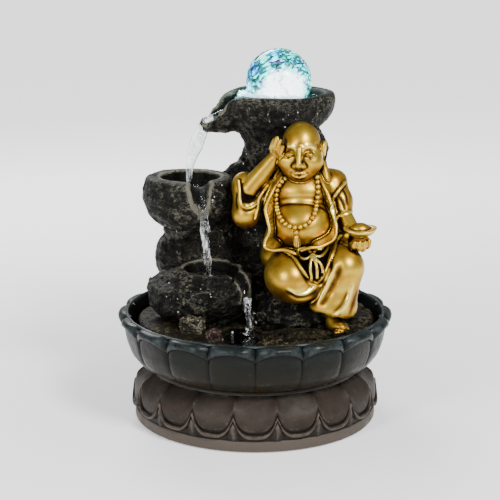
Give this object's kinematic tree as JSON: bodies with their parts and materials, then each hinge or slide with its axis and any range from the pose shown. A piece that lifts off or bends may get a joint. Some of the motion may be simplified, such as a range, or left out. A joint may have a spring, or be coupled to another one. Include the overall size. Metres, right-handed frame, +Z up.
{
  "type": "tabletop water fountain",
  "caption": "Round lotus-petal basin on a lotus pedestal, with a hollow rock tower, three spilling bowls, a lit glass ball on a jet, a seated figure and a small pump.",
  "frame": {"origin": "centre of the base, on the plane that the rubber feet stand on", "axes": "+Z up; -Y is the front, which the figure faces; +X is to the right as seen from the front"},
  "size_m": [0.21, 0.2068, 0.278],
  "materials": {
    "pedestal_resin": "matte brown cast resin",
    "basin_resin": "dark grey-green cast resin, satin",
    "rock_resin": "near-black cast rock, worn crests",
    "brown_stone": "reddish-brown cast stone",
    "gold_paint": "antique gold paint with dark crevices",
    "rubber": "matte",
    "glass": "clear glass",
    "water": "clear water",
    "clear_plastic": "clear moulded plastic",
    "black_plastic": "satin",
    "white_plastic": "satin",
    "circuit_board": "green solder mask",
    "led_epoxy": "clear epoxy",
    "steel": "ground",
    "foam": "open-cell foam"
  },
  "bodies": {
    "root": {"pedestal": "pedestal_resin", "foot_pad_1": "rubber", "foot_pad_2": "rubber", "foot_pad_3": "rubber", "foot_pad_4": "rubber", "basin": "basin_resin", "cord_grommet": "rubber", "ground_deck": "rock_resin", "rock_tower": "rock_resin", "upper_bowl": "rock_resin", "middle_bowl": "rock_resin", "lower_bowl": "rock_resin", "block_stone": "rock_resin", "brown_stone": "brown_stone", "figure": "gold_paint", "ingot": "gold_paint", "ball_seat": "clear_plastic", "lamp_lens": "clear_plastic", "lamp_housing": "black_plastic", "led_board": "circuit_board", "led_1": "led_epoxy", "led_2": "led_epoxy", "led_3": "led_epoxy", "led_4": "led_epoxy", "led_5": "led_epoxy", "led_6": "led_epoxy", "jet_nozzle": "black_plastic", "water_hose": "clear_plastic", "lamp_wire": "black_plastic", "pump_body": "black_plastic", "pump_volute": "black_plastic", "pump_cover": "black_plastic", "filter_foam": "foam", "rotor_shaft": "steel", "front_bush": "rubber", "rear_bush": "rubber", "suction_cup_1": "rubber", "suction_cup_2": "rubber", "suction_cup_3": "rubber", "suction_cup_4": "rubber"},
    "ball": {"glass_ball": "glass"},
    "rotor": {"impeller": "white_plastic", "rotor_magnet": "black_plastic"},
    "regulator": {"flow_slider": "white_plastic"},
    "hatch": {"pump_hatch": "rock_resin"}
  },
  "joints": [
    {"name": "ball_spin", "type": "hinge", "parent": "root", "child": "ball", "pos_m": [0.018, 0.03, 0.253], "axis": [1, 0, 0], "continuous": true},
    {"name": "rotor_spin", "type": "hinge", "parent": "root", "child": "rotor", "pos_m": [0.014, 0.036, 0.0653], "axis": [1, 0, 0], "continuous": true},
    {"name": "regulator_slide", "type": "slide", "parent": "root", "child": "regulator", "axis": [0, 0, -1], "range_m": [0, 0.007]},
    {"name": "hatch_pull", "type": "slide", "parent": "root", "child": "hatch", "axis": [0, 1, 0], "range_m": [0, 0.05]}
  ]
}
